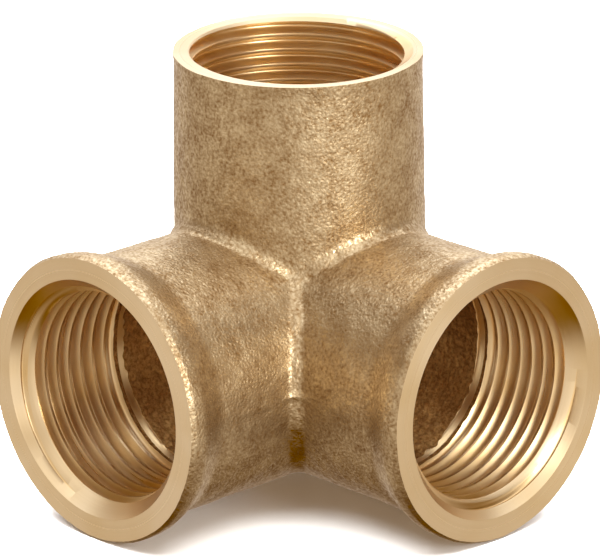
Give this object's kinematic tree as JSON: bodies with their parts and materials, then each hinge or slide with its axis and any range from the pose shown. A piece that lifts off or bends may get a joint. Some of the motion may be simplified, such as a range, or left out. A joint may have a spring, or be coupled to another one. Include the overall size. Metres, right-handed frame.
{
  "type": "side-outlet pipe elbow",
  "caption": "Cast gunmetal corner pipe fitting: mutually square female threaded sockets round one hub, flared collars on the side sockets.",
  "frame": {"origin": "bottom centre of the bounding box, on the plane that the two side collars stand on; the three socket axes cross at x -7.875, y 7.875, z 16.75 mm", "axes": "+Z along the top socket's axis out of its mouth, +X along the right socket's axis out of its mouth, -Y along the left socket's axis out of its mouth"},
  "size_m": [0.0492, 0.0492, 0.0508],
  "materials": {
    "cast_gunmetal": "as cast and shot blasted, grainy satin",
    "machined_gunmetal": "turned and tapped, bright with fine tool marks"
  },
  "bodies": {
    "root": {"hub": "cast_gunmetal", "left_barrel": "cast_gunmetal", "right_barrel": "cast_gunmetal", "top_barrel": "cast_gunmetal", "left_collar": "cast_gunmetal", "right_collar": "cast_gunmetal", "left_thread": "machined_gunmetal", "right_thread": "machined_gunmetal", "top_thread": "machined_gunmetal"}
  },
  "joints": []
}
